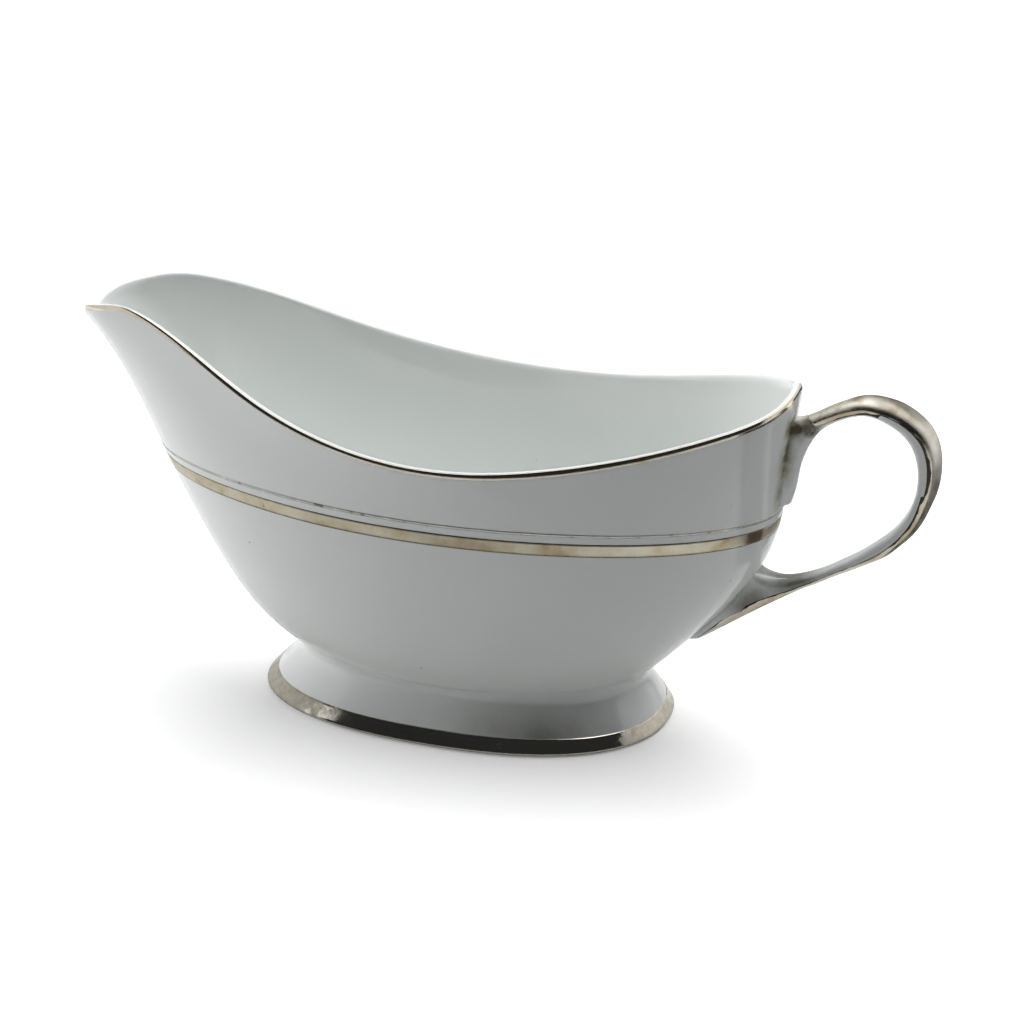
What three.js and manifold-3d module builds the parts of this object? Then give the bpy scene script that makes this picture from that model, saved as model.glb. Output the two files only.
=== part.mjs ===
// Porcelain gravy boat: an oval bowl with a pouring lip, on a hollow oval pedestal foot,
// with a strap handle at the back. Platinum trims run round the rim, the belly, the foot's
// edge and the handle's outer face.
// Millimetres, +Z up. The spout points to -X and the handle to +X. z = 0 is the foot ring's base.

import * as THREE from 'three'
import { LoftGeometry } from 'three/addons/geometries/LoftGeometry.js'
import { mergeVertices } from 'three/addons/utils/BufferGeometryUtils.js'
import Module from 'manifold-3d'

// ---- driving dimensions (mm), measured from the axis of the pedestal foot ----
const WALL = 2.7              // thickness of the cast bowl wall
const RIM_WALL = 2.3          // thickness at the rounded rim
const LUTE_GAP = 0.3          // slip joint between two castings
const FILM_GAP = 0.1          // under a platinum film
const FILM = 0.25             // thickness of a platinum film
const AXIS_SHIFT = -9.3       // puts the middle of the overall length at x = 0
const MERIDIANS = 72          // columns round the bowl and the foot

const FOOT_TOP = 13.2         // height of the waist between foot and bowl
const FOOT_X = 1.9            // middle of the foot along X
const FOOT_LENGTH_HALF = 56.4
const FOOT_WIDTH_HALF = 34.9
const FOOT_SQUARE = 2.3       // exponent of the foot's plan: 2 is an ellipse
const FOOT_WALL = 3.4
const FOOT_EDGE = 0.9         // radius of the foot's outer bottom edge

const BELLY_BAND = [59.2, 62.7]     // lower and upper edge of the wide platinum band
const BELLY_LINE = [64.5, 65.3]     // the thin line above it
const FOOT_BAND = [0.9, 4.3]        // platinum band at the edge of the foot
const RIM_LINE = 1.1                // width of the platinum line under the rim
const RIM_SETBACK = 0.35            // where the rim's rounding starts, below the rim curve
const BLEND_START = 56              // height from which the body flares out to the rim
const DOME = 0.08                   // rise of the middle of the floor, and sag under it

// ---- small helpers ----
const lerp = (a, b, t) => a + (b - a) * t
const v3 = (x, y, z) => new THREE.Vector3(x, y, z)
const clamp01 = (t) => Math.min(1, Math.max(0, t))
const radians = (deg) => deg * Math.PI / 180

function smoothstep(from, to, x) {
  const t = clamp01((x - from) / (to - from))
  return t * t * (3 - 2 * t)
}

// Cubic spline through [x, y] pairs. ends holds the slopes at both ends; without it the
// curve runs out straight.
function spline(pairs, ends) {
  const n = pairs.length
  const x = pairs.map((p) => p[0])
  const y = pairs.map((p) => p[1])
  const h = x.slice(1).map((q, i) => q - x[i])
  const rise = h.map((q, i) => (y[i + 1] - y[i]) / q)
  const below = new Array(n).fill(0)
  const middle = new Array(n).fill(1)
  const above = new Array(n).fill(0)
  const bend = new Array(n).fill(0)
  for (let i = 1; i < n - 1; i++) {
    below[i] = h[i - 1]
    middle[i] = 2 * (h[i - 1] + h[i])
    above[i] = h[i]
    bend[i] = 6 * (rise[i] - rise[i - 1])
  }
  if (ends) {
    middle[0] = 2 * h[0]
    above[0] = h[0]
    bend[0] = 6 * (rise[0] - ends[0])
    middle[n - 1] = 2 * h[n - 2]
    below[n - 1] = h[n - 2]
    bend[n - 1] = 6 * (ends[1] - rise[n - 2])
  }
  for (let i = 1; i < n; i++) {
    const share = below[i] / middle[i - 1]
    middle[i] -= share * above[i - 1]
    bend[i] -= share * bend[i - 1]
  }
  bend[n - 1] /= middle[n - 1]
  for (let i = n - 2; i >= 0; i--) bend[i] = (bend[i] - above[i] * bend[i + 1]) / middle[i]
  return (q) => {
    const c = Math.min(x[n - 1], Math.max(x[0], q))
    let i = 0
    while (i < n - 2 && c > x[i + 1]) i++
    const d = c - x[i]
    const b = rise[i] - h[i] * (2 * bend[i] + bend[i + 1]) / 6
    const k = (bend[i + 1] - bend[i]) / (6 * h[i])
    const slope = b + d * bend[i] + 3 * d * d * k
    return y[i] + d * b + d * d * bend[i] / 2 + d * d * d * k + (q - c) * slope
  }
}

// Angle of column j: 0 at the spout, half a turn at the handle.
const columnAngle = (j) => 2 * Math.PI * j / MERIDIANS

// Fold a column angle onto the half from spout to handle, in degrees.
const foldedAngle = (phi) => (phi > Math.PI ? 2 * Math.PI - phi : phi) * 180 / Math.PI

// ---- bowl: outside surface ----
// Front end, back end and half width of the body against height.
const bodyFront = spline([[FOOT_TOP, -43.5], [15.5, -47.8], [19, -53.3], [28, -62.9], [40, -71.6],
  [52, -78.9], [63.8, -84.9], [80, -92.1], [98, -100.8]])
const bodyBack = spline([[FOOT_TOP, 51.4], [15.5, 53.6], [19, 57.2], [26, 64.0], [36, 73.2],
  [46, 80.4], [57.9, 85.2], [70, 87.0], [84, 88.2], [98, 89.5]])
const bodyHalf = spline([[FOOT_TOP, 26.8], [15.5, 30.0], [19, 32.9], [25, 35.8], [34, 38.1],
  [46, 39.2], [57.9, 39.5], [70, 40.1], [84, 41.2], [100, 42.6]])
// Narrowing of the body towards the spout, as a share of the width.
const frontTaper = spline([[0, 0.12], [40, 0.09], [75, 0.02], [105, 0], [180, 0]], [0, 0])

// Rim: ends, width and height against the angle from the spout.
const RIM_FRONT = -106.6
const RIM_BACK = 89.9
const rimWidth = spline([[0, 31.0], [14, 34.0], [28, 30.6], [41, 29.2], [53, 32.0], [70, 37.8],
  [84, 41.4], [104, 43.4], [122, 42.9], [140, 45.0], [160, 47.3], [180, 47.3]], [0, 0])
const rimHeight = spline([[0, 95.4], [14, 99.6], [26, 102.3], [37, 103.9], [47, 101.9], [58, 96.6],
  [70, 89.1], [82, 83.3], [93, 80.3], [103, 79.6], [116, 81.3], [131, 85.3], [148, 90.1],
  [166, 93.9], [174, 96.1], [180, 97.3]], [0, 0])

function bodyPoint(phi, z) {
  const front = bodyFront(z)
  const back = bodyBack(z)
  const taper = 1 - frontTaper(foldedAngle(phi)) * smoothstep(FOOT_TOP, 60, z)
  return v3(
    (front + back) / 2 - (back - front) / 2 * Math.cos(phi),
    -bodyHalf(z) * taper * Math.sin(phi),
    z)
}

function rimPoint(phi) {
  const a = foldedAngle(phi)
  return v3(
    (RIM_FRONT + RIM_BACK) / 2 - (RIM_BACK - RIM_FRONT) / 2 * Math.cos(phi),
    -rimWidth(a) * Math.sin(phi),
    rimHeight(a))
}

// Outside surface at an angle and a height: the body, drawn out to the rim curve at the top.
// Near the spout the flare stays close to the rim.
function wallPoint(phi, z) {
  const rim = rimPoint(phi)
  const atRim = bodyPoint(phi, rim.z)
  const power = 2 + 1.4 * smoothstep(70, 20, foldedAngle(phi))
  const t = clamp01((z - BLEND_START) / (rim.z - BLEND_START)) ** power
  return bodyPoint(phi, z).add(rim.sub(atRim).multiplyScalar(t))
}

const ring = (pointAt) => Array.from({ length: MERIDIANS }, (_, j) => pointAt(columnAngle(j)))

const BODY_LEVELS = [FOOT_TOP + LUTE_GAP, 15, 17.5, 21, 26, 32, 39, 46, 52,
  ...BELLY_BAND, ...BELLY_LINE]
const UPPER_STEPS = [0.2, 0.4, 0.6, 0.8]

// Rings of the outside surface, from the waist to the start of the rim's rounding.
function outsideRings() {
  const rings = BODY_LEVELS.map((z) => ring((phi) => wallPoint(phi, z)))
  const rimStart = (phi) => rimPoint(phi).z - RIM_SETBACK
  UPPER_STEPS.forEach((t) => {
    rings.push(ring((phi) => wallPoint(phi, lerp(BELLY_LINE[1], rimStart(phi) - RIM_LINE, t))))
  })
  rings.push(ring((phi) => wallPoint(phi, rimStart(phi) - RIM_LINE)))
  rings.push(ring((phi) => wallPoint(phi, rimStart(phi))))
  return rings
}

// Outward direction at every point of a stack of rings.
function ringNormals(rings) {
  return rings.map((row, k) => row.map((p, j) => {
    const left = row[(j + MERIDIANS - 1) % MERIDIANS]
    const right = row[(j + 1) % MERIDIANS]
    const below = rings[Math.max(0, k - 1)][j]
    const above = rings[Math.min(rings.length - 1, k + 1)][j]
    const along = right.clone().sub(left)
    const up = above.clone().sub(below)
    return along.cross(up).normalize()
  }))
}

const offsetRing = (row, normals, d) => row.map((p, j) => p.clone().addScaledVector(normals[j], d))

// A closed ring of points drawn in towards its middle and set at one height.
function shrunkRing(row, share, z) {
  const centre = v3(0, 0, 0)
  row.forEach((p) => centre.addScaledVector(p, 1 / row.length))
  return row.map((p) => v3(lerp(centre.x, p.x, share), lerp(centre.y, p.y, share), z))
}

const outside = outsideRings()
const outward = ringNormals(outside)
const rimRow = outside.length - 1

// The same surface with each point stored once.
function welded(geometry) {
  const plain = new THREE.BufferGeometry()
  plain.setAttribute('position', geometry.getAttribute('position'))
  plain.setIndex(geometry.getIndex())
  const once = mergeVertices(plain, 1e-4)
  once.computeVertexNormals()
  return once
}

const cappedLoft = (rows) => new LoftGeometry(rows, { closed: true, capStart: true, capEnd: true })

// Loft whose last ring is its first: the two are welded into one closed tube.
const closedLoft = (rows) => welded(new LoftGeometry(rows, { closed: true }))

// Half-round edge from the outer to the inner side of the rim.
function rimRounding() {
  const top = outside[rimRow]
  const centre = offsetRing(top, outward[rimRow], -RIM_WALL / 2)
  const up = top.map((p, j) => p.clone().sub(outside[rimRow - 1][j]).normalize())
  return [30, 60, 90, 120, 150].map((turn) => {
    const c = Math.cos(radians(turn)) * RIM_WALL / 2
    const s = Math.sin(radians(turn)) * RIM_WALL / 2
    return centre.map((p, j) => p.clone().addScaledVector(outward[rimRow][j], c).addScaledVector(up[j], s))
  })
}

function bowlGeometry() {
  const base = FOOT_TOP + LUTE_GAP
  const floor = base + WALL
  const rows = [shrunkRing(outside[0], 0.35, base - DOME), ...outside, ...rimRounding()]
  rows.push(offsetRing(outside[rimRow], outward[rimRow], -RIM_WALL))
  // inside wall, down to the floor; the edges of the bands have no ring of their own there
  const bandEdges = [...BELLY_BAND, BELLY_LINE[0]]
  for (let k = rimRow - 2; k >= 2; k--) {
    if (!bandEdges.includes(BODY_LEVELS[k])) rows.push(offsetRing(outside[k], outward[k], -WALL))
  }
  const lowest = rows[rows.length - 1]
  rows.push(shrunkRing(lowest, 0.93, floor + 0.9))
  rows.push(shrunkRing(lowest, 0.8, floor + 0.25))
  rows.push(shrunkRing(lowest, 0.55, floor))
  rows.push(shrunkRing(lowest, 0.2, floor + DOME))
  return cappedLoft(rows)
}

// A film over the surface between two neighbouring rings.
function filmGeometry(rings, normals, low, high) {
  return closedLoft([
    offsetRing(rings[low], normals[low], FILM_GAP),
    offsetRing(rings[low], normals[low], FILM_GAP + FILM),
    offsetRing(rings[high], normals[high], FILM_GAP + FILM),
    offsetRing(rings[high], normals[high], FILM_GAP),
    offsetRing(rings[low], normals[low], FILM_GAP)])
}

// ---- pedestal foot ----
// Share of the way from the base to the waist, against height: a nearly straight flare.
const flare = spline([[FOOT_EDGE, 0], [4.2, 0.285], [8, 0.61], [11, 0.865], [FOOT_TOP, 1]], [0.083, 0.04])
const power = (t) => Math.sign(t) * Math.abs(t) ** (2 / FOOT_SQUARE)

function footPoint(phi, z, inset) {
  const s = flare(Math.max(z, FOOT_EDGE))
  const front = lerp(FOOT_X - FOOT_LENGTH_HALF, bodyFront(FOOT_TOP), s) + inset
  const back = lerp(FOOT_X + FOOT_LENGTH_HALF, bodyBack(FOOT_TOP), s) - inset
  const half = lerp(FOOT_WIDTH_HALF, bodyHalf(FOOT_TOP), s) - inset
  return v3(
    (front + back) / 2 - (back - front) / 2 * power(Math.cos(phi)),
    -half * power(Math.sin(phi)),
    z)
}

// Height and inset of the outer skin, then of the hollow's wall back down to the base.
const FOOT_SKIN = [[0, FOOT_EDGE], [0.26, 0.26], [FOOT_BAND[0], 0], [FOOT_BAND[1], 0], [8, 0], [11, 0],
  [FOOT_TOP, 0]]
const FOOT_HOLLOW = [[FOOT_TOP, FOOT_WALL], [9, FOOT_WALL], [4, FOOT_WALL], [0.7, FOOT_WALL],
  [0, FOOT_WALL - 0.7]]
const footRing = ([z, inset]) => ring((phi) => footPoint(phi, z, inset))
const footRings = FOOT_SKIN.map(footRing)
const footOutward = ringNormals(footRings)

const footGeometry = () => closedLoft([...footRings, ...FOOT_HOLLOW.map(footRing), footRings[0]])

// ---- handle ----
// Each rib crosses the strap in the XZ plane: inner x, z, outer x, z and half the width across.
const RIBS = [
  [88.8, 66.9, 79.0, 66.9, 3.5], [89.8, 71.0, 79.0, 72.0, 3.8], [90.5, 75.8, 79.0, 78.5, 4.0],
  [91.7, 80.2, 79.5, 84.3, 4.0], [93.6, 84.3, 83.5, 87.8, 3.7], [95.8, 87.3, 90.6, 89.8, 3.3],
  [98.4, 89.3, 96.1, 92.6, 3.6], [101.1, 90.8, 99.4, 94.4, 3.9], [104.2, 92.0, 102.9, 96.0, 4.3],
  [107.6, 92.4, 107.2, 97.0, 4.6], [111.2, 91.4, 113.2, 96.3, 4.9], [114.5, 89.7, 118.0, 94.2, 5.0],
  [117.2, 87.2, 122.3, 90.6, 5.0], [119.0, 83.8, 124.8, 85.6, 4.9], [119.9, 79.9, 125.5, 80.1, 4.9],
  [120.0, 75.9, 125.0, 74.9, 4.7], [119.4, 72.1, 123.7, 70.6, 4.5], [118.1, 68.5, 122.1, 66.5, 4.2],
  [116.1, 65.1, 119.8, 62.6, 3.9], [113.7, 62.1, 117.0, 59.4, 3.7], [110.8, 59.4, 113.8, 56.2, 3.4],
  [108.0, 57.0, 110.4, 54.0, 3.2], [105.0, 54.8, 106.9, 52.0, 3.1], [101.8, 52.7, 103.4, 50.1, 3.0],
  [98.7, 50.7, 100.2, 48.4, 3.0], [95.4, 48.9, 96.8, 46.4, 3.05], [91.8, 47.4, 92.9, 44.3, 3.15],
  [88.0, 46.4, 88.6, 41.6, 3.4], [84.3, 46.5, 83.9, 38.6, 3.9], [80.8, 47.7, 78.8, 35.2, 4.5],
  [76.6, 48.6, 73.6, 31.6, 4.9], [70.6, 45.0, 67.9, 27.5, 4.5], [65.8, 41.0, 65.2, 26.0, 3.6],
  [60.0, 36.0, 60.5, 25.6, 3.0]]
const FILM_RIBS = [6, 31]     // first and last rib under the platinum
const STRAP_POINTS = 20       // points round a section
const CROWN_POINTS = 3        // section points on each side that carry the platinum
const DEPTH_KEPT = 5          // a deep rib keeps the strap's rounding over this depth

// Point j of a rib's section, counted round from the outer crown, lifted off the surface.
function ribPoint([innerX, innerZ, outerX, outerZ, half], j, lift) {
  const inner = v3(innerX, 0, innerZ)
  const across = v3(outerX, 0, outerZ).sub(inner)
  const depth = across.length()
  across.normalize()
  const turn = 2 * Math.PI * j / STRAP_POINTS
  const c = Math.cos(turn)
  const s = Math.sin(turn)
  const reach = Math.min(depth, DEPTH_KEPT) / 2
  const middle = c > -1e-9 ? depth - reach : reach
  const facing = new THREE.Vector2(c / reach, s / half).normalize()
  const p = inner.addScaledVector(across, middle + c * reach + lift * facing.x)
  p.y = s * half + lift * facing.y
  return p
}

const ribSection = (rib) => Array.from({ length: STRAP_POINTS }, (_, j) => ribPoint(rib, -j, 0))

// Closed solid just outside the bowl, used to end the handle at the wall.
function bowlEnvelope() {
  return cappedLoft(outside.map((row, k) => offsetRing(row, outward[k], LUTE_GAP)))
}

const wasm = await Module()
wasm.setup()

function toSolid(geometry) {
  const once = welded(geometry)
  return new wasm.Manifold(new wasm.Mesh({
    numProp: 3,
    vertProperties: new Float32Array(once.attributes.position.array),
    triVerts: new Uint32Array(once.index.array)
  }))
}

function fromSolid(solid) {
  const mesh = solid.getMesh()
  const g = new THREE.BufferGeometry()
  g.setAttribute('position', new THREE.BufferAttribute(new Float32Array(mesh.vertProperties), 3))
  g.setIndex(new THREE.BufferAttribute(new Uint32Array(mesh.triVerts), 1))
  g.computeVertexNormals()
  return g
}

function handleGeometry() {
  const strap = toSolid(cappedLoft(RIBS.map(ribSection)))
  const cut = strap.subtract(toSolid(bowlEnvelope()))
  const pieces = cut.decompose()
  pieces.sort((a, b) => b.volume() - a.volume())
  return fromSolid(pieces[0])
}

// Platinum film along the outer face of the strap.
function handleFilmGeometry() {
  const crown = Array.from({ length: 2 * CROWN_POINTS + 1 }, (_, k) => CROWN_POINTS - k)
  return cappedLoft(RIBS.slice(FILM_RIBS[0], FILM_RIBS[1]).map((rib) => {
    const low = crown.map((j) => ribPoint(rib, j, FILM_GAP))
    const high = crown.map((j) => ribPoint(rib, j, FILM_GAP + FILM))
    return low.reverse().concat(high)
  }))
}

// ---- materials and assembly ----
const glaze = { color: 0xe9ecea, roughness: 0.12, metalness: 0 }
const platinum = { color: 0xb9b09c, roughness: 0.22, metalness: 1 }

function part(name, geometry, look) {
  const mesh = new THREE.Mesh(geometry, new THREE.MeshStandardMaterial(look))
  mesh.name = name
  return mesh
}

const boat = new THREE.Group()
boat.name = 'gravy_boat'
boat.position.x = AXIS_SHIFT

const castings = new THREE.Group()
castings.name = 'castings'
castings.add(part('bowl', bowlGeometry(), glaze))
castings.add(part('pedestal_foot', footGeometry(), glaze))
castings.add(part('handle', handleGeometry(), glaze))

const bandOnBowl = ([low, high]) =>
  filmGeometry(outside, outward, BODY_LEVELS.indexOf(low), BODY_LEVELS.indexOf(high))
const footBandRow = FOOT_SKIN.findIndex(([z]) => z === FOOT_BAND[0])

const trims = new THREE.Group()
trims.name = 'platinum_trims'
trims.add(part('rim_band', filmGeometry(outside, outward, rimRow - 1, rimRow), platinum))
trims.add(part('belly_line', bandOnBowl(BELLY_LINE), platinum))
trims.add(part('belly_band', bandOnBowl(BELLY_BAND), platinum))
trims.add(part('foot_band', filmGeometry(footRings, footOutward, footBandRow, footBandRow + 1), platinum))
trims.add(part('handle_band', handleFilmGeometry(), platinum))

boat.add(castings)
boat.add(trims)

const group = new THREE.Group()
group.name = 'gravy_boat_assembly'
group.add(boat)

export default group
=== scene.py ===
import math

import bpy
import numpy as np
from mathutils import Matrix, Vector


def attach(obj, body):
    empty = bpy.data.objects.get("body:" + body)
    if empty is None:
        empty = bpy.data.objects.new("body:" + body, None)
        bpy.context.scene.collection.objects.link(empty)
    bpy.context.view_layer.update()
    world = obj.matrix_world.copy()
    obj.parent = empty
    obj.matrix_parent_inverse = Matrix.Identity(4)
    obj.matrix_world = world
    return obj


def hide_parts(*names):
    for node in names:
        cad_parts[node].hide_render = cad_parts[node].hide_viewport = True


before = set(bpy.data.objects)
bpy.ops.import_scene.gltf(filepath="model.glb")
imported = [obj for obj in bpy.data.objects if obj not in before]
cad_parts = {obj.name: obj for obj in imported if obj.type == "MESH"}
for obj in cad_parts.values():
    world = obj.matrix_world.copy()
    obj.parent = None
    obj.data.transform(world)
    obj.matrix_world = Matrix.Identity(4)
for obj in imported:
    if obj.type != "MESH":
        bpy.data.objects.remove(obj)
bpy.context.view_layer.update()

MM = 0.001
AXIS_SHIFT = -9.3           # from the foot's axis to the middle of the overall length
MERIDIANS = 288             # columns round the bowl

FOOT_TOP = 13.2             # height of the waist between foot and bowl
FOOT_X = 1.9                # middle of the foot's bottom outline along X
FOOT_LENGTH_HALF = 56.4
FOOT_WIDTH_HALF = 34.9
FOOT_EDGE = 0.9             # radius of the foot's outer bottom edge
FOOT_INNER_EDGE = 0.7
FOOT_SQUARE = 2.3           # exponent of the foot's plan: 2 is an ellipse
FOOT_WALL = 3.4
FILLET_START = 11.4         # the fillet between foot and bowl runs between these heights
FILLET_END = 16.0
BOWL_BASE = 12.8            # lowest level of the bowl's outside, hidden in the foot
BLEND_START = 56            # above this height the body grows into the rim's outline
WALL = 2.7
RIM_WALL = 2.3
RIM_DROP = 1.65             # the lip's rounding starts this far under the rim curve
RIM_RISE = 2.4              # and rises this far
BELLY_BAND = (59.2, 62.7)   # lower and upper edge of the wide band
BELLY_LINE = (64.5, 65.3)   # and of the thin line above it
FOOT_BAND_TOP = 4.3
FILM = 0.05                 # how far a platinum film stands over the glaze
WALL_TUCK = 0.15            # how far the edges of a film are sunk in the glaze
RIM_TUCK = 0.1
STRAP_TUCK = 0.12
RIM_FILM = (21, 66)         # where the platinum starts and ends on the lip's rounding, in degrees


# ---------------------------------------------------------------- curves

def spline(points, ends=None):
    """Smooth curve through (x, y) pairs. ends gives the slopes at both ends."""
    x, y = np.array(points, float).T
    n = len(x)
    h = np.diff(x)
    a = np.zeros((n, n))
    r = np.zeros(n)
    for i in range(1, n - 1):
        a[i, i - 1], a[i, i], a[i, i + 1] = h[i - 1], 2 * (h[i - 1] + h[i]), h[i]
        r[i] = 6 * ((y[i + 1] - y[i]) / h[i] - (y[i] - y[i - 1]) / h[i - 1])
    a[0, 0] = a[-1, -1] = 1
    if ends is not None:
        a[0, 0], a[0, 1] = 2 * h[0], h[0]
        r[0] = 6 * ((y[1] - y[0]) / h[0] - ends[0])
        a[-1, -1], a[-1, -2] = 2 * h[-1], h[-1]
        r[-1] = 6 * (ends[1] - (y[-1] - y[-2]) / h[-1])
    m = np.linalg.solve(a, r)

    def at(q):
        q = np.asarray(q, float)
        c = np.clip(q, x[0], x[-1])
        i = np.clip(np.searchsorted(x, c) - 1, 0, n - 2)
        d = c - x[i]
        b = (y[i + 1] - y[i]) / h[i] - h[i] * (2 * m[i] + m[i + 1]) / 6
        k = (m[i + 1] - m[i]) / (6 * h[i])
        slope = b + d * m[i] + 3 * d * d * k
        return y[i] + d * b + d * d * m[i] / 2 + d ** 3 * k + (q - c) * slope
    return at


def smoothstep(a, b, x):
    t = np.clip((np.asarray(x, float) - a) / (b - a), 0, 1)
    return t * t * (3 - 2 * t)


# Body below the rim: front end, back end and half width against height.
body_front = spline([(FOOT_TOP, -43.5), (15.5, -47.8), (19, -53.3), (28, -62.9), (40, -71.6),
                     (52, -78.9), (63.8, -84.9), (80, -92.1), (98, -100.8)])
body_back = spline([(FOOT_TOP, 51.4), (15.5, 53.6), (19, 57.2), (26, 64.0), (36, 73.2), (46, 80.4),
                    (57.9, 85.2), (70, 87.0), (84, 88.2), (98, 89.5)])
body_half = spline([(FOOT_TOP, 26.8), (15.5, 30.0), (19, 32.9), (25, 35.8), (34, 38.1), (46, 39.2),
                    (57.9, 39.5), (70, 40.1), (84, 41.2), (100, 42.6)])
front_taper = spline([(0, 0.12), (40, 0.09), (75, 0.02), (105, 0.0), (180, 0.0)], ends=(0, 0))

# Rim: width factor and height against the angle from the spout.
RIM_FRONT = -107.1
RIM_BACK = 89.9
rim_width = spline([(0, 31.0), (14, 34.0), (28, 30.6), (41, 29.2), (53, 32.0), (70, 37.8), (84, 41.4),
                    (104, 43.4), (122, 42.9), (140, 45.0), (160, 47.3), (180, 47.3)], ends=(0, 0))
rim_height = spline([(0, 95.4), (14, 99.6), (26, 102.3), (37, 103.9), (47, 101.9), (58, 96.6),
                     (70, 89.1), (82, 83.3), (93, 80.3), (103, 79.6), (116, 81.3), (131, 85.3),
                     (148, 90.1), (166, 93.9), (174, 96.1), (180, 97.3)], ends=(0, 0))


def folded(phi):
    """Angle from the spout in degrees, the same on both sides."""
    a = np.degrees(np.mod(phi, 2 * np.pi))
    return np.where(a > 180, 360 - a, a)


def body_xy(phi, z):
    front, back = body_front(z), body_back(z)
    taper = 1 - front_taper(folded(phi)) * smoothstep(FOOT_TOP, 60, z)
    x = (front + back) / 2 - (back - front) / 2 * np.cos(phi)
    y = -body_half(z) * taper * np.sin(phi)
    return x, y


def rim_xyz(phi):
    a = folded(phi)
    x = (RIM_FRONT + RIM_BACK) / 2 - (RIM_BACK - RIM_FRONT) / 2 * np.cos(phi)
    return x, -rim_width(a) * np.sin(phi), rim_height(a)


def wall(phi, z):
    """Point of the bowl's outside surface at this angle and height."""
    phi, z = np.broadcast_arrays(np.asarray(phi, float), np.asarray(z, float))
    bx, by = body_xy(phi, z)
    rx, ry, rz = rim_xyz(phi)
    tx, ty = body_xy(phi, rz)
    power = 2.0 + 1.4 * smoothstep(70, 20, folded(phi))
    t = np.clip((z - BLEND_START) / (rz - BLEND_START), 0, 1) ** power
    return np.stack([bx + (rx - tx) * t, by + (ry - ty) * t, z], -1)


def wall_normal(phi, z):
    """Outward direction of the outside surface."""
    e = 1e-3
    along = wall(phi + e, z) - wall(phi - e, z)
    up = wall(phi, z + 0.05) - wall(phi, z - 0.05)
    n = np.cross(along, up)
    return n / np.linalg.norm(n, axis=-1, keepdims=True)


# ---------------------------------------------------------------- meshes

def to_row(points):
    """Points in millimetres from the foot's axis, turned into metres in the row frame."""
    p = np.asarray(points, float).reshape(-1, 3) + np.array([AXIS_SHIFT, 0, 0])
    return p * MM


def grid_piece(name, rows, cap_start=False, cap_end=False, welded_ends=False, uv=None):
    """Mesh from rows of points, each row a closed ring. uv gives (u, v) per point."""
    rows = np.asarray(rows, float)
    r, n = rows.shape[:2]
    faces = []
    last = r if welded_ends else r - 1
    for k in range(last):
        for j in range(n):
            a, b = k * n + j, k * n + (j + 1) % n
            up = ((k + 1) % r) * n
            faces.append((a, b, up + (j + 1) % n, up + j))
    verts = to_row(rows)
    if cap_start:
        faces.append(tuple(range(n - 1, -1, -1)))
    if cap_end:
        faces.append(tuple((r - 1) * n + j for j in range(n)))
    mesh = bpy.data.meshes.new(name)
    mesh.from_pydata(verts.tolist(), [], faces)
    if uv is not None:
        layer = mesh.uv_layers.new(name="map")
        flat = np.asarray(uv, float).reshape(-1, 2)
        index = np.empty(len(mesh.loops), int)
        mesh.loops.foreach_get("vertex_index", index)
        layer.data.foreach_set("uv", flat[index].ravel())
    mesh.validate()
    mesh.shade_smooth()
    obj = bpy.data.objects.new(name, mesh)
    bpy.context.scene.collection.objects.link(obj)
    return obj


PHI = 2 * np.pi * np.arange(MERIDIANS) / MERIDIANS


def shrunk(row, share, z):
    """Copy of a ring, drawn in towards its middle and laid at height z."""
    c = row.mean(0)
    out = c + (row - c) * share
    out[:, 2] = z
    return out


def lip_frame(top, below, out_dir):
    """Middle of the lip's rounding and the direction in which the lip rises."""
    up = top - below
    up -= out_dir * (up * out_dir).sum(-1, keepdims=True)
    up /= np.linalg.norm(up, axis=-1, keepdims=True)
    return top - out_dir * RIM_WALL / 2, up


def lip_ring(centre, up, out_dir, turn, lift=0.0):
    """Ring on the lip's rounding; turn goes from the outside over the top to the inside."""
    out_part = out_dir * math.cos(turn) * (RIM_WALL / 2 + lift)
    return centre + out_part + up * math.sin(turn) * (RIM_RISE + lift)


def bowl_rows():
    rows = []
    rim_z = rim_xyz(PHI)[2] - RIM_DROP
    outer, normal = [], []
    shares = np.concatenate([np.linspace(0, 0.12, 14)[:-1], np.linspace(0.12, 0.93, 56)[:-1],
                             np.linspace(0.93, 1, 8)])
    for s in shares:
        z = BOWL_BASE + (rim_z - BOWL_BASE) * s
        outer.append(wall(PHI, z))
        normal.append(wall_normal(PHI, z))
    # underside inside the foot, slightly domed
    first = outer[0]
    for share in (0.02, 0.2, 0.45, 0.7, 0.88):
        rows.append(shrunk(first, share, FOOT_TOP + 0.4 + 0.5 * (1 - share ** 2)))
    rows.append(shrunk(first, 0.97, FOOT_TOP))
    rows.extend(outer)
    # rounded rim
    centre, up = lip_frame(outer[-1], outer[-2], normal[-1])
    for turn in np.radians(np.arange(10, 171, 10)):
        rows.append(lip_ring(centre, up, normal[-1], turn))
    # inside surface
    for k in range(len(outer) - 1, 2, -1):
        share = shares[k]
        thick = RIM_WALL + (WALL - RIM_WALL) * float(smoothstep(1.0, 0.8, share))
        rows.append(outer[k] - normal[k] * thick)
    # floor of the bowl, slightly dished
    low = rows[-1]
    z_low = low[:, 2].mean()
    for share in (0.965, 0.92, 0.85, 0.74, 0.6, 0.42, 0.22, 0.04):
        ring = shrunk(low, share, z_low - 0.75 * (1 - share ** 6))
        ring[:, 2] += (low[:, 2] - z_low) * max(0, share * 3 - 2)
        rows.append(ring)
    return rows


# ---------------------------------------------------------------- foot

# Share of the way from the foot's bottom outline to the waist, against height.
foot_flare = spline([(FOOT_EDGE, 0.0), (4.2, 0.285), (8.0, 0.61), (11.0, 0.865), (FOOT_TOP, 1.0)],
                    ends=(0.083, 0.04))


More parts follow.
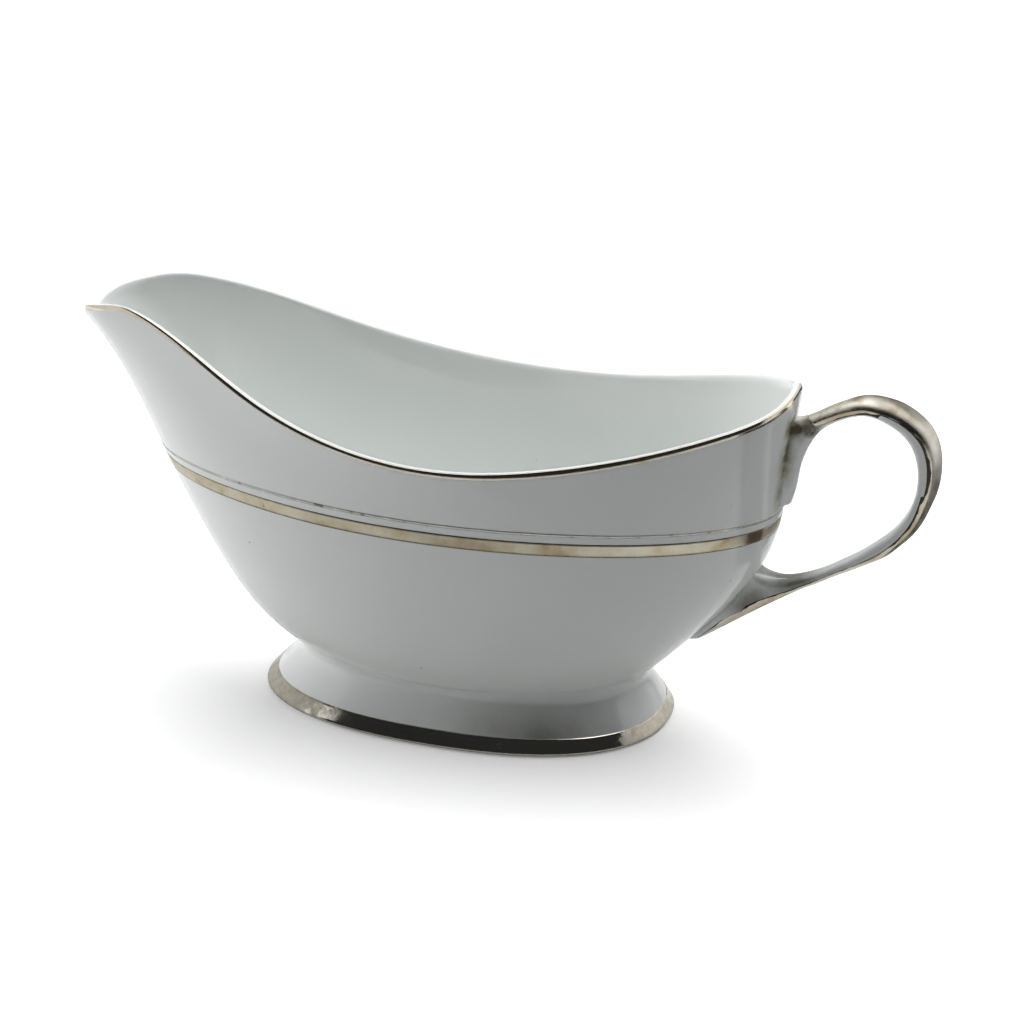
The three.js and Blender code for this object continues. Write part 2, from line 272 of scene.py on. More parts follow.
def foot_point(phi, z, inset=0.0):
    """Point of the foot's outside at this angle and height, moved inwards by inset."""
    s = foot_flare(np.maximum(z, FOOT_EDGE))
    front = (FOOT_X - FOOT_LENGTH_HALF) * (1 - s) + body_front(FOOT_TOP) * s + inset
    back = (FOOT_X + FOOT_LENGTH_HALF) * (1 - s) + body_back(FOOT_TOP) * s - inset
    half = FOOT_WIDTH_HALF * (1 - s) + body_half(FOOT_TOP) * s - inset
    phi, z = np.broadcast_arrays(np.asarray(phi, float), np.asarray(z, float))
    c = np.sign(np.cos(phi)) * np.abs(np.cos(phi)) ** (2 / FOOT_SQUARE)
    w = np.sign(np.sin(phi)) * np.abs(np.sin(phi)) ** (2 / FOOT_SQUARE)
    return np.stack([(front + back) / 2 - (back - front) / 2 * c, -half * w, z], -1)


def foot_rows():
    rows = []
    # bottom ring, from its inner corner out
    r = FOOT_INNER_EDGE
    for turn in np.radians((90, 60, 30, 0)):
        rows.append(foot_point(PHI, r - r * math.cos(turn), FOOT_WALL - r + r * math.sin(turn)))
    r = FOOT_EDGE
    for turn in np.radians((0, 20, 40, 60, 80)):
        rows.append(foot_point(PHI, r - r * math.cos(turn), r - r * math.sin(turn)))
    for z in np.linspace(FOOT_EDGE, FILLET_START, 26):
        rows.append(foot_point(PHI, z))
    # fillet, its upper edge sunk in the bowl
    start = foot_point(PHI, FILLET_START)
    crease = foot_point(PHI, FOOT_TOP + 0.2)
    end = wall(PHI, FILLET_END) + wall_normal(PHI, FILLET_END) * 0.01
    for t in np.linspace(0, 1, 12)[1:]:
        rows.append(start * (1 - t) ** 2 + crease * 2 * t * (1 - t) + end * t * t)
    sunk_z = FILLET_END + 0.2
    rows.append(wall(PHI, sunk_z) - wall_normal(PHI, sunk_z) * 0.5)
    rows.append(foot_point(PHI, FOOT_TOP - 0.2, 1.4))
    # inside of the hollow
    for z in (FOOT_TOP, 12.6, 11.0, 9.0, 7.0, 5.0, 3.0, 1.6):
        rows.append(foot_point(PHI, z, FOOT_WALL + (0.6 if z > 12 else 0.0)))
    return rows


# ---------------------------------------------------------------- handle
# Ribs across the strap in the XZ plane: inner x, inner z, outer x, outer z, half width.
RIBS = np.array([
    (88.8, 66.9, 79.0, 66.9, 3.5), (89.8, 71.0, 79.0, 72.0, 3.8), (90.5, 75.8, 79.0, 78.5, 4.0),
    (91.7, 80.2, 79.5, 84.3, 4.0), (93.6, 84.3, 83.5, 87.8, 3.7), (95.8, 87.3, 90.6, 89.8, 3.3),
    (98.4, 89.3, 96.1, 92.6, 3.6), (101.1, 90.8, 99.4, 94.4, 3.9), (104.2, 92.0, 102.9, 96.0, 4.3),
    (107.6, 92.4, 107.2, 97.0, 4.6), (111.2, 91.4, 113.2, 96.3, 4.9), (114.5, 89.7, 118.0, 94.2, 5.0),
    (117.2, 87.2, 122.3, 90.6, 5.0), (119.0, 83.8, 124.8, 85.6, 4.9), (119.9, 79.9, 125.5, 80.1, 4.9),
    (120.0, 75.9, 125.0, 74.9, 4.7), (119.4, 72.1, 123.7, 70.6, 4.5), (118.1, 68.5, 122.1, 66.5, 4.2),
    (116.1, 65.1, 119.8, 62.6, 3.9), (113.7, 62.1, 117.0, 59.4, 3.7), (110.8, 59.4, 113.8, 56.2, 3.4),
    (108.0, 57.0, 110.4, 54.0, 3.2), (105.0, 54.8, 106.9, 52.0, 3.1), (101.8, 52.7, 103.4, 50.1, 3.0),
    (98.7, 50.7, 100.2, 48.4, 3.0), (95.4, 48.9, 96.8, 46.4, 3.05), (91.8, 47.4, 92.9, 44.3, 3.15),
    (88.0, 46.4, 88.6, 41.6, 3.4), (84.3, 46.5, 83.9, 38.6, 3.9), (80.8, 47.7, 78.8, 35.2, 4.5),
    (76.6, 48.6, 73.6, 31.6, 4.9), (70.6, 45.0, 67.9, 27.5, 4.5), (65.8, 41.0, 65.2, 26.0, 3.6),
    (60.0, 36.0, 60.5, 25.6, 3.0)])
RIB_STEPS = 9
STRAP_POINTS = 56
DEPTH_KEPT = 5.0            # a deep rib keeps the strap's rounding over this depth

rib_of = [spline(np.stack([np.arange(len(RIBS)), RIBS[:, k]], -1)) for k in range(5)]


def strap_ring(s, lift=0.0, turns=None):
    """Section of the strap at rib number s. turns are angles from the outer crown; a film's turns
    past a right angle run down the flat side of a deep rib."""
    ix, iz, ox, oz, half = (float(c(s)) for c in rib_of)
    inner, outer = np.array([ix, 0, iz]), np.array([ox, 0, oz])
    across = outer - inner
    depth = np.linalg.norm(across)
    across = across / depth
    reach = min(depth, DEPTH_KEPT) / 2
    film = turns is not None
    if not film:
        turns = 2 * np.pi * np.arange(STRAP_POINTS) / STRAP_POINTS
    flat_side = film and depth > DEPTH_KEPT
    past = np.maximum(np.abs(turns) - np.pi / 2, 0) if flat_side else np.zeros(len(turns))
    turns = turns - np.sign(turns) * past
    c, w = np.cos(turns), np.sin(turns)
    # exponents under 1 square the section off, and more so on the lower part of the strap
    square = float(smoothstep(22, 28, s))
    crown = np.sign(c) * np.abs(c) ** (0.92 - 0.14 * square)
    n = np.where(c >= 0, depth - reach + crown * reach, reach + crown * reach)
    n = np.where(past > 0, depth - reach - past / (np.pi / 2) * (depth - 2 * reach), n)
    side = np.sign(w) * np.abs(w) ** (0.88 - 0.30 * square)
    # direction in which the skin faces, for films that lie on it
    face_n, face_y = c / max(reach, 0.1), w / half
    size = np.hypot(face_n, face_y)
    n = n + lift * face_n / size
    y = side * half + lift * face_y / size
    return inner + across * n[:, None] + np.array([0, 1.0, 0]) * y[:, None]


def back_wall_depth(p):
    """Distance along X from the bowl's outside near its back, positive outside, with the point
    of the wall at that place and the direction it faces."""
    z = np.clip(p[..., 2], FOOT_TOP + 0.2, 96)
    sine = np.clip(-p[..., 1] / np.maximum(body_half(z), 1), -0.6, 0.6)
    phi = np.pi - np.arcsin(sine)
    for _ in range(3):
        q = wall(phi, z)
        phi = phi + (p[..., 1] - q[..., 1]) / np.maximum(body_half(z), 1)
    q = wall(phi, z)
    return p[..., 0] - q[..., 0], q, wall_normal(phi, z)


def handle_rows():
    count = (len(RIBS) - 1) * RIB_STEPS + 1
    rows = np.array([strap_ring(s)[::-1] for s in np.linspace(0, len(RIBS) - 1, count)])
    # widen the roots where they come within this distance of the wall
    flare = 2.0
    gap, _, _ = back_wall_depth(rows)
    near = np.clip((flare - gap) / flare, 0, 1.5)
    sideways = rows[..., 1] - rows[..., 1].mean(1, keepdims=True)
    rows[..., 1] += np.sign(sideways) * 0.45 * near ** 2 * np.minimum(np.abs(sideways), 1.0)
    # hold what is inside the wall 1 mm under its surface
    gap, on_wall, facing = back_wall_depth(rows)
    deep = (gap < -1.1)[..., None]
    return np.where(deep, on_wall - facing, rows)


# ---------------------------------------------------------------- films

def ring_map(ring, v):
    """UV of a film made of rings: u is the length along one ring in centimetres, v goes across."""
    lengths = np.cumsum(np.linalg.norm(np.diff(ring, axis=0, append=ring[:1]), axis=-1))
    u = np.concatenate([[0], lengths[:-1]]) / 10
    return np.stack(np.broadcast_arrays(u[None, :], v[:, None]), -1)


def wall_film(name, z_low, z_high, steps=6):
    """Platinum film on the bowl between two heights."""
    outer = [wall(PHI, z) + wall_normal(PHI, z) * FILM for z in np.linspace(z_low, z_high, steps)]
    low, high = (wall(PHI, z) - wall_normal(PHI, z) * WALL_TUCK for z in (z_low, z_high))
    v = np.concatenate([[0], np.linspace(0, 1, steps), [1]])
    return grid_piece(name, [low, *outer, high], welded_ends=True, uv=ring_map(outer[0], v))


def rim_film():
    rim_z = rim_xyz(PHI)[2] - RIM_DROP
    top, out_dir = wall(PHI, rim_z), wall_normal(PHI, rim_z)
    centre, up = lip_frame(top, wall(PHI, rim_z - 0.5), out_dir)
    low, high = np.radians(RIM_FILM)
    rows = [lip_ring(centre, up, out_dir, turn, FILM) for turn in np.linspace(low, high, 12)]
    edges = [lip_ring(centre, up, out_dir, turn, -RIM_TUCK) for turn in (low, high)]
    rows = [edges[0], *rows, edges[1]]
    uv = ring_map(top, np.linspace(0, 1, len(rows)))
    return grid_piece("rim_band_film", rows, welded_ends=True, uv=uv)


def foot_film():
    rows = [foot_point(PHI, 0.55, 0.3)]
    for z in (0.35, 0.5, 0.7, FOOT_EDGE, 1.4, 2.0, 2.6, 3.2, 3.8, FOOT_BAND_TOP):
        under = max(0.0, FOOT_EDGE - z)
        inset = FOOT_EDGE - math.sqrt(FOOT_EDGE ** 2 - under ** 2)
        rows.append(foot_point(PHI, z, inset - FILM))
    widest = rows[-7]
    rows.append(foot_point(PHI, FOOT_BAND_TOP, WALL_TUCK))
    uv = ring_map(widest, np.linspace(0, 1, len(rows)))
    return grid_piece("foot_band_film", rows, welded_ends=True, uv=uv)


# How far round the section the strap's film goes, in degrees from the crown, against rib number.
FILM_RIBS = (5.2, 31.6)
film_reach = spline([(FILM_RIBS[0], 100), (5.8, 108), (8, 114), (11, 112), (13, 109), (15, 104), (18, 93),
                     (22, 86), (25, 86), (27.5, 88), (28.3, 104), (29, 104), (30, 98), (30.8, 82),
                     (FILM_RIBS[1], 52)])


def handle_film():
    """Film over the outer side of the strap; its reach round the section changes along it."""
    stations = np.linspace(*FILM_RIBS, 242)
    across = np.linspace(-1, 1, 33)
    rows, uv = [], []
    for s in stations:
        turns = np.radians(float(film_reach(s))) * across
        high = strap_ring(s, FILM, turns)
        low = strap_ring(s, -STRAP_TUCK, turns)
        rows.append(np.concatenate([high, low[::-1]])[::-1])
        u = np.concatenate([across, across[::-1]])[::-1]
        uv.append(np.stack([np.full(len(u), s / len(RIBS)), u / 2 + 0.5], -1))
    return grid_piece("handle_band_film", rows, cap_start=True, cap_end=True, uv=uv)


# ---------------------------------------------------------------- materials

def new_material(name):
    m = bpy.data.materials.new(name)
    m.use_nodes = True
    return m, m.node_tree.nodes, m.node_tree.links, m.node_tree.nodes["Principled BSDF"]


def add(nodes, kind, **values):
    n = nodes.new(kind)
    for k, v in values.items():
        setattr(n, k, v)
    return n


def noise(nodes, links, coord, scale, detail=4.0, rough=0.5):
    n = add(nodes, "ShaderNodeTexNoise")
    n.inputs["Scale"].default_value = scale
    n.inputs["Detail"].default_value = detail
    n.inputs["Roughness"].default_value = rough
    links.new(coord, n.inputs["Vector"])
    return n.outputs["Fac"]


def ramp(nodes, links, source, stops):
    n = add(nodes, "ShaderNodeValToRGB")
    el = n.color_ramp.elements
    while len(el) < len(stops):
        el.new(0.5)
    for e, (pos, col) in zip(el, stops):
        e.position = pos
        e.color = (*col, 1)
    links.new(source, n.inputs["Fac"])
    return n.outputs["Color"]


def grey(v):
    return (v, v, v)


def mix(nodes, links, fac, a, b):
    n = add(nodes, "ShaderNodeMix", data_type="RGBA")
    links.new(fac, n.inputs["Factor"])
    for k, c in (("A", a), ("B", b)):
        socket = [s for s in n.inputs if s.name == k and s.type == "RGBA"][0]
        if isinstance(c, tuple):
            socket.default_value = (*c, 1)
        else:
            links.new(c, socket)
    return [s for s in n.outputs if s.type == "RGBA"][0]


def math_node(nodes, links, op, a, b=None):
    n = add(nodes, "ShaderNodeMath", operation=op)
    for k, c in enumerate((a, b)):
        if c is None:
            continue
        if isinstance(c, (int, float)):
            n.inputs[k].default_value = c
        else:
            links.new(c, n.inputs[k])
    return n.outputs[0]


def blot(nodes, links, coord, centre, radii, core=0.5):
    """Mask that falls to 0 at the surface of an ellipsoid, given in millimetres from the foot's
    axis. core is the share of the way out over which it stays at 1."""
    shift = add(nodes, "ShaderNodeVectorMath", operation="SUBTRACT")
    links.new(coord, shift.inputs[0])
    shift.inputs[1].default_value = to_row([centre])[0]
    scale = add(nodes, "ShaderNodeVectorMath", operation="DIVIDE")
    links.new(shift.outputs["Vector"], scale.inputs[0])
    scale.inputs[1].default_value = [r * MM for r in radii]
    length = add(nodes, "ShaderNodeVectorMath", operation="LENGTH")
    links.new(scale.outputs["Vector"], length.inputs[0])
    return ramp(nodes, links, length.outputs["Value"], [(core, grey(1.0)), (1.0, grey(0.0))])


def any_of(nodes, links, masks):
    total = masks[0]
    for m in masks[1:]:
        total = math_node(nodes, links, "MAXIMUM", total, m)
    return total


def stained_or_shaded(nodes, links, coord, colour, blots, tint, scale, low, high, core, wash):
    """Lay a speckled tint over a colour inside some ellipsoids, for stains and for painted shade. scale,
    low and high are the size and the limits of the specks, and wash is the part that is there between them."""
    area = any_of(nodes, links, [blot(nodes, links, coord, c, r, core) for c, r in blots])
    grain = ramp(nodes, links, noise(nodes, links, coord, scale, 6.0, 0.65),
                 [(low, grey(0.0)), (high, grey(1.0))])
    lift = math_node(nodes, links, "ADD", math_node(nodes, links, "MULTIPLY", area, wash), grain)
    return mix(nodes, links, math_node(nodes, links, "MULTIPLY", area, lift), colour, tint)


def porcelain_material(name, stains_and_shade=()):
    m, nodes, links, bsdf = new_material(name)
    coord = add(nodes, "ShaderNodeTexCoord").outputs["Object"]
    cloud = noise(nodes, links, coord, 26.0, 3.0)
    colour = ramp(nodes, links, cloud, [(0.3, (0.765, 0.79, 0.775)), (0.7, (0.79, 0.81, 0.795))])
    speck = noise(nodes, links, coord, 620.0, 0.0)
    dots = ramp(nodes, links, speck, [(0.895, grey(0.0)), (0.92, grey(0.8))])
    colour = mix(nodes, links, dots, colour, (0.42, 0.40, 0.34))
    # the unglazed foot ring
    height = add(nodes, "ShaderNodeSeparateXYZ")
    links.new(coord, height.inputs[0])
    bare = ramp(nodes, links, math_node(nodes, links, "MULTIPLY", height.outputs["Z"], 1000.0),
                [(0.25, grey(1.0)), (0.45, grey(0.0))])
    clay = ramp(nodes, links, noise(nodes, links, coord, 400.0, 6.0, 0.7),
                [(0.35, (0.55, 0.50, 0.42)), (0.6, (0.74, 0.71, 0.64))])
    colour = mix(nodes, links, bare, colour, clay)
    for tint, blots, *grain in stains_and_shade:
        colour = stained_or_shaded(nodes, links, coord, colour, blots, tint, *grain)
    links.new(colour, bsdf.inputs["Base Color"])
    gloss = ramp(nodes, links, noise(nodes, links, coord, 45.0, 4.0),
                 [(0.3, grey(0.06)), (0.75, grey(0.11))])
    links.new(mix(nodes, links, bare, gloss, grey(0.75)), bsdf.inputs["Roughness"])
    bsdf.inputs["IOR"].default_value = 1.52
    bump = add(nodes, "ShaderNodeBump")
    bump.inputs["Strength"].default_value = 0.04
    bump.inputs["Distance"].default_value = 0.0005
    links.new(noise(nodes, links, coord, 70.0, 2.0), bump.inputs["Height"])
    links.new(bump.outputs["Normal"], bsdf.inputs["Normal"])
    return m


def platinum_material(name, tones, patch, gloss, dull, edge=None, stains_and_shade=(), spots=0.34, matt=()):
    """Fired platinum. tones are (position, colour) stops of the tarnish and patch its scale, gloss
    and dull the roughness of clean and tarnished metal, edge a darker colour laid along both borders,
    spots the amount of dark dots, and matt the ellipsoids where the metal has lost its shine."""
    m, nodes, links, bsdf = new_material(name)
    tex = add(nodes, "ShaderNodeTexCoord")
    coord = tex.outputs["Object"]
    bsdf.inputs["Metallic"].default_value = 1.0
    big = noise(nodes, links, coord, patch, 5.0, 0.62)
    colour = ramp(nodes, links, big, tones)
    fine = noise(nodes, links, coord, 520.0, 6.0, 0.7)
    dots = ramp(nodes, links, fine, [(spots - 0.05, grey(0.85)), (spots + 0.03, grey(0.0))])
    colour = mix(nodes, links, dots, colour, (0.10, 0.07, 0.04))
    if edge is not None:
        across = add(nodes, "ShaderNodeSeparateXYZ")
        links.new(tex.outputs["UV"], across.inputs[0])
        wobble = math_node(nodes, links, "MULTIPLY", math_node(nodes, links, "SUBTRACT", fine, 0.5), 0.22)
        v = math_node(nodes, links, "ADD", across.outputs["Y"], wobble)
        middle = math_node(nodes, links, "ABSOLUTE", math_node(nodes, links, "SUBTRACT", v, 0.5))
        border = ramp(nodes, links, middle, [(0.40, grey(0.0)), (0.475, grey(1.0))])
        colour = mix(nodes, links, border, colour, edge)
    for tint, blots, *grain in stains_and_shade:
        colour = stained_or_shaded(nodes, links, coord, colour, blots, tint, *grain)
    r = ramp(nodes, links, big, [(tones[0][0], grey(dull)), (tones[-1][0], grey(gloss))])
    if matt:
        area = any_of(nodes, links, [blot(nodes, links, coord, c, k, 0.3) for c, k in matt])
        streak = math_node(nodes, links, "MULTIPLY", noise(nodes, links, coord, 170.0, 8.0, 0.75), 2.2)
        ragged = ramp(nodes, links, math_node(nodes, links, "SUBTRACT",
                                              math_node(nodes, links, "ADD", area, streak), 0.9),
                      [(0.42, grey(0.0)), (0.80, grey(1.0))])
        matt_tone = ramp(nodes, links, fine, [(0.35, (0.40, 0.37, 0.30)), (0.60, (0.52, 0.49, 0.42))])
        colour = mix(nodes, links, ragged, colour, matt_tone)
        r = mix(nodes, links, ragged, r, grey(0.5))
    links.new(colour, bsdf.inputs["Base Color"])
    links.new(r, bsdf.inputs["Roughness"])
    bump = add(nodes, "ShaderNodeBump")
    bump.inputs["Strength"].default_value = 0.15
    bump.inputs["Distance"].default_value = 0.0002
    links.new(fine, bump.inputs["Height"])
    links.new(bump.outputs["Normal"], bsdf.inputs["Normal"])
    return m


# Stains and painted shade: tints, and (centre, radii) of the ellipsoids they fill.
OLIVE, UMBER, RUST = (0.235, 0.215, 0.125), (0.12, 0.10, 0.07), (0.42, 0.25, 0.06)
# grey tint of painted shade, laid where the glaze falls into shade
PAINTED_SHADE = (0.20, 0.20, 0.175)
CREVICE = [((88.4, -3.8, 88.0), (5.4, 4.9, 6.4)), ((87.4, -4.4, 80.5), (3.8, 4.0, 11.0)),
           ((85.9, -4.8, 72.0), (1.9, 2.9, 8.5))]
KNUCKLE = [((93.0, -2.5, 88.0), (3.6, 4.4, 2.8)), ((89.6, -3.6, 88.0), (3.2, 2.4, 2.6))]
bowl_porcelain = porcelain_material("bowl_porcelain", [
    (OLIVE, CREVICE, 190.0, 0.34, 0.70, 0.1, 0.55),
    (UMBER, [((89.2, -3.0, 89.5), (3.4, 3.4, 3.0))], 420.0, 0.48, 0.62, 0.3, 0.3),
    (RUST, [((86.2, -4.8, 75.5), (1.5, 1.8, 2.0))], 600.0, 0.44, 0.56, 0.3, 0.5)])
# painted shade: a grey tint darkening the front of the foot above its band
foot_porcelain = porcelain_material("foot_porcelain", [
    (PAINTED_SHADE, [((33, -29, 3.5), (35, 19, 12))], 30.0, 0.25, 0.85, 0.1, 0.42)])
handle_porcelain = porcelain_material("handle_porcelain", [
    (OLIVE, CREVICE + [((92.0, -2.0, 89.0), (5.4, 4.8, 4.2))], 190.0, 0.34, 0.70, 0.15, 0.6),
    (UMBER, KNUCKLE, 420.0, 0.36, 0.60, 0.35, 0.7),
    # painted shade: grey tint over the near side of the tail and over the crook, the last blot over a
    # highlight from above
    (PAINTED_SHADE, [((92, -4, 46), (19, 6, 10)), ((80, -4, 40), (12, 6, 11))], 60.0, 0.30, 0.75, 0.2, 0.36),
    (PAINTED_SHADE, [((87, 0, 48), (12, 7, 4.5))], 60.0, 0.30, 0.75, 0.2, 0.6)])

band_platinum = platinum_material(
    "band_platinum", [(0.34, (0.37, 0.27, 0.15)), (0.42, (0.46, 0.39, 0.26)), (0.50, (0.50, 0.455, 0.345)),
                      (0.64, (0.53, 0.505, 0.41))], 120.0, 0.36, 0.48, (0.15, 0.145, 0.13),
    stains_and_shade=[((0.27, 0.25, 0.195), [((20, -40, 61), (62, 15, 9))], 50.0, 0.30, 0.80, 0.1, 0.30),
            # painted dark reflection: a dark brown patch at the band's end next to the handle
            ((0.15, 0.12, 0.08), [((82.6, -12, 61.0), (3.0, 4.0, 6))], 150.0, 0.35, 0.65, 0.6, 0.5)])
line_platinum = platinum_material(
    "line_platinum", [(0.34, (0.20, 0.17, 0.13)), (0.40, (0.44, 0.44, 0.42)), (0.60, (0.52, 0.51, 0.48)),
                      (0.66, (0.62, 0.58, 0.48))], 260.0, 0.35, 0.5)
rim_platinum = platinum_material(
    "rim_platinum", [(0.28, (0.40, 0.30, 0.18)), (0.38, (0.52, 0.47, 0.38)), (0.7, (0.60, 0.56, 0.48))],
    90.0, 0.07, 0.16, spots=0.26)
foot_platinum = platinum_material(
    "foot_platinum", [(0.30, (0.50, 0.45, 0.35)), (0.42, (0.60, 0.56, 0.48)), (0.7, (0.66, 0.63, 0.56))],
    80.0, 0.06, 0.16, spots=0.27,
    matt=[((-44, -20, 2), (28, 22, 9)), ((58, -6, 2), (13, 22, 9)), ((-46, 22, 2), (22, 18, 9))])
handle_platinum = platinum_material(
    "handle_platinum", [(0.36, (0.40, 0.34, 0.24)), (0.48, (0.50, 0.46, 0.37)), (0.62, (0.60, 0.57, 0.50))],
    70.0, 0.08, 0.30, spots=0.30)


def tarnish_and_painted_reflection_on_handle(m):
    """Matt tarnish along the crown of the strap, and a painted dark reflection: a near black border along
    its inner edges.
    """
    nodes, links = m.node_tree.nodes, m.node_tree.links
    bsdf = nodes["Principled BSDF"]
    tex = add(nodes, "ShaderNodeTexCoord")
    axes = add(nodes, "ShaderNodeSeparateXYZ")
    links.new(tex.outputs["UV"], axes.inputs[0])
    side = math_node(nodes, links, "ABSOLUTE", math_node(nodes, links, "SUBTRACT", axes.outputs["Y"], 0.5))
    ragged = noise(nodes, links, tex.outputs["Object"], 240.0, 5.0, 0.6)
    ragged = math_node(nodes, links, "MULTIPLY", math_node(nodes, links, "SUBTRACT", ragged, 0.5), 0.16)
    side = math_node(nodes, links, "ADD", side, ragged)
    crown = ramp(nodes, links, side, [(0.27, grey(1.0)), (0.33, grey(0.0))])
    old_rough = bsdf.inputs["Roughness"].links[0].from_socket
    links.new(mix(nodes, links, crown, old_rough, grey(0.46)), bsdf.inputs["Roughness"])
    # painted dark reflection along the film's edges; its width changes along the strap
    width = ramp(nodes, links, axes.outputs["X"],
                 [(0.19, grey(0.02)), (0.30, grey(0.10)), (0.42, grey(0.16)), (0.47, grey(0.04)),
                  (0.60, grey(0.025))])
    reach = math_node(nodes, links, "ADD", side, width)
    border = ramp(nodes, links, reach, [(0.485, grey(0.0)), (0.50, grey(1.0))])
    old_colour = bsdf.inputs["Base Color"].links[0].from_socket
    grain = noise(nodes, links, tex.outputs["Object"], 150.0, 6.0, 0.65)
    dark = ramp(nodes, links, grain, [(0.38, (0.16, 0.14, 0.105)), (0.50, (0.24, 0.22, 0.18)),
                                      (0.62, (0.29, 0.27, 0.23))])
    pale = ramp(nodes, links, grain, [(0.38, (0.50, 0.44, 0.33)), (0.50, (0.80, 0.76, 0.66)),
                                      (0.62, (0.88, 0.86, 0.79))])
    along = ramp(nodes, links, axes.outputs["X"],
                 [(0.22, grey(0.75)), (0.28, grey(0.0)), (0.33, grey(0.0)), (0.39, grey(1.0)),
                  (0.50, grey(1.0)), (0.60, grey(0.6)), (0.80, grey(0.15))])
    colour = mix(nodes, links, crown, old_colour, mix(nodes, links, along, dark, pale))
    links.new(mix(nodes, links, border, colour, (0.035, 0.03, 0.025)), bsdf.inputs["Base Color"])


tarnish_and_painted_reflection_on_handle(handle_platinum)


# ---------------------------------------------------------------- pieces

def finish_piece(obj, material, node):
    """Give a piece its material and hide the CAD node it stands for. All ride on the one body."""
    obj.data.materials.append(material)
    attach(obj, "root")
    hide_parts(node)


finish_piece(grid_piece("bowl_body", bowl_rows(), cap_start=True, cap_end=True),
             bowl_porcelain, "bowl")
finish_piece(grid_piece("foot_body", foot_rows(), welded_ends=True),
             foot_porcelain, "pedestal_foot")
finish_piece(grid_piece("handle_body", handle_rows(), cap_start=True, cap_end=True),
             handle_porcelain, "handle")
finish_piece(wall_film("belly_band_film", *BELLY_BAND), band_platinum, "belly_band")
finish_piece(wall_film("belly_line_film", *BELLY_LINE, steps=3), line_platinum, "belly_line")
finish_piece(rim_film(), rim_platinum, "rim_band")
finish_piece(foot_film(), foot_platinum, "foot_band")
finish_piece(handle_film(), handle_platinum, "handle_band")


# ---------------------------------------------------------------- floor, light, camera

ROOM = 1.5                  # half the width of the white studio, in metres


def sheet(name, corners, albedo, glow, hidden_from):
    """Matt four-cornered sheet of the studio. glow is the light it gives off, and hidden_from
    names the kinds of ray that pass through it."""
    mesh = bpy.data.meshes.new(name)
    mesh.from_pydata(corners, [], [(0, 1, 2, 3)])
    obj = bpy.data.objects.new(name, mesh)
    bpy.context.scene.collection.objects.link(obj)
    material, _, _, bsdf = new_material(name + "_paper")
    bsdf.inputs["Base Color"].default_value = (albedo, albedo, albedo, 1)
    bsdf.inputs["Roughness"].default_value = 0.9
    bsdf.inputs["Specular IOR Level"].default_value = 0.1
    bsdf.inputs["Emission Color"].default_value = (1, 1, 1, 1)
    bsdf.inputs["Emission Strength"].default_value = glow
    mesh.materials.append(material)
    for ray in hidden_from:
        setattr(obj, "visible_" + ray, False)


def level_square(x, half, z):
    """Square lying at height z, with its middle at x."""
    return [(x - half, -half, z), (x + half, -half, z), (x + half, half, z), (x - half, half, z)]


def upright(x0, y0, x1, y1, top):
    """Sheet standing on the line between two points of the floor."""
    foot = 0.002
    return [(x0, y0, foot), (x1, y1, foot), (x1, y1, top), (x0, y0, top)]


# Only seen: a white floor and the four walls round it.
ONLY_SEEN = ("diffuse", "glossy", "shadow")
sheet("floor", level_square(0, ROOM, -0.0002), 0.92, 0.22, ONLY_SEEN)
CORNERS = [(-ROOM, ROOM), (ROOM, ROOM), (ROOM, -ROOM), (-ROOM, -ROOM)]
for k in range(4):
    sheet("wall_%d" % k, upright(*CORNERS[k], *CORNERS[(k + 1) % 4], ROOM), 0.0, 1.0, ONLY_SEEN)

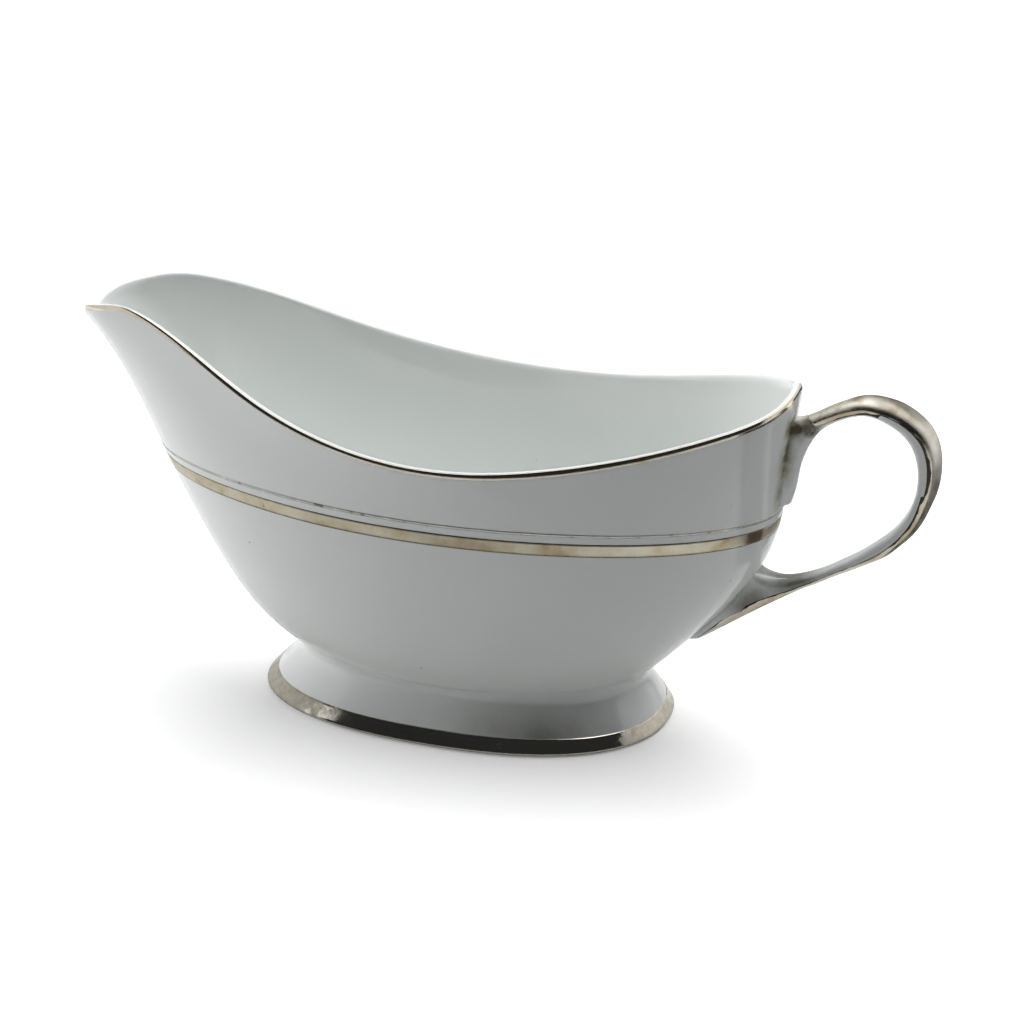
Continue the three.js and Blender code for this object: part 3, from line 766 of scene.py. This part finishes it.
# Only reflected in the platinum and the glaze: another floor, a dark cloth on it to the right of
# the boat, and a pale card behind it on either side.
ONLY_REFLECTED = ("camera", "diffuse", "shadow")
sheet("mirrored_floor", level_square(0, 4.0, -0.0004), 0.78, 0.0, ONLY_REFLECTED)
CLOTH_Z = 0.0006
sheet("cloth", [(0.12, 0.0, CLOTH_Z), (0.9, -0.4, CLOTH_Z), (0.9, 0.6, CLOTH_Z), (0.12, 0.6, CLOTH_Z)],
      0.03, 0.0, ONLY_REFLECTED)
sheet("left_card", upright(-1.2, -0.8, -0.9, 1.2, 0.95), 0.0, 0.95, ONLY_REFLECTED)
sheet("right_card", upright(1.2, -0.1, 0.35, 1.3, 0.75), 0.0, 1.15, ONLY_REFLECTED)

# Only there to throw light up at the boat.
sheet("bounce", level_square(-0.07, 0.30, -0.0006), 0.62, 0.0, ("camera", "glossy", "shadow"))


def area_light(name, place, target, size, size_y, energy):
    data = bpy.data.lights.new(name, "AREA")
    data.shape = "RECTANGLE"
    data.size, data.size_y = size, size_y
    data.energy = energy
    obj = bpy.data.objects.new(name, data)
    bpy.context.scene.collection.objects.link(obj)
    obj.location = place
    obj.visible_camera = False
    obj.rotation_mode = "QUATERNION"
    obj.rotation_quaternion = (Vector(target) - Vector(place)).to_track_quat("-Z", "Y")
    return obj


area_light("overhead", (0.15, 0.55, 1.4), (0.0, 0.15, 0), 2.4, 1.6, 43)
for side_light in (area_light("left_soft", (-1.25, -0.1, 0.32), (0, 0, 0.06), 1.2, 0.55, 13),
                   area_light("right_soft", (1.1, 0.5, 0.5), (0, 0, 0.05), 0.9, 0.6, 1.2)):
    side_light.visible_glossy = False

world = bpy.data.worlds.new("studio")
bpy.context.scene.world = world
world.use_nodes = True
background = world.node_tree.nodes["Background"]
background.inputs["Color"].default_value = (0.9, 0.95, 1.0, 1)
background.inputs["Strength"].default_value = 0.03

AZIMUTH, ELEVATION, DISTANCE = 19.5, 22.5, 0.650
SENSOR_WIDTH, LENS = 36, 87.26
TARGET = Vector((0.00507, 0.0, 0.05384))
a, e = math.radians(AZIMUTH), math.radians(ELEVATION)
back = Vector((math.sin(a) * math.cos(e), -math.cos(a) * math.cos(e), math.sin(e)))
cam_data = bpy.data.cameras.new("camera")
cam_data.sensor_width = SENSOR_WIDTH
cam_data.lens = LENS
cam = bpy.data.objects.new("camera", cam_data)
bpy.context.scene.collection.objects.link(cam)
cam.location = TARGET + back * DISTANCE
cam.rotation_mode = "QUATERNION"
cam.rotation_quaternion = (-back).to_track_quat("-Z", "Y")
bpy.context.scene.camera = cam
bpy.context.scene.view_settings.view_transform = "Standard"
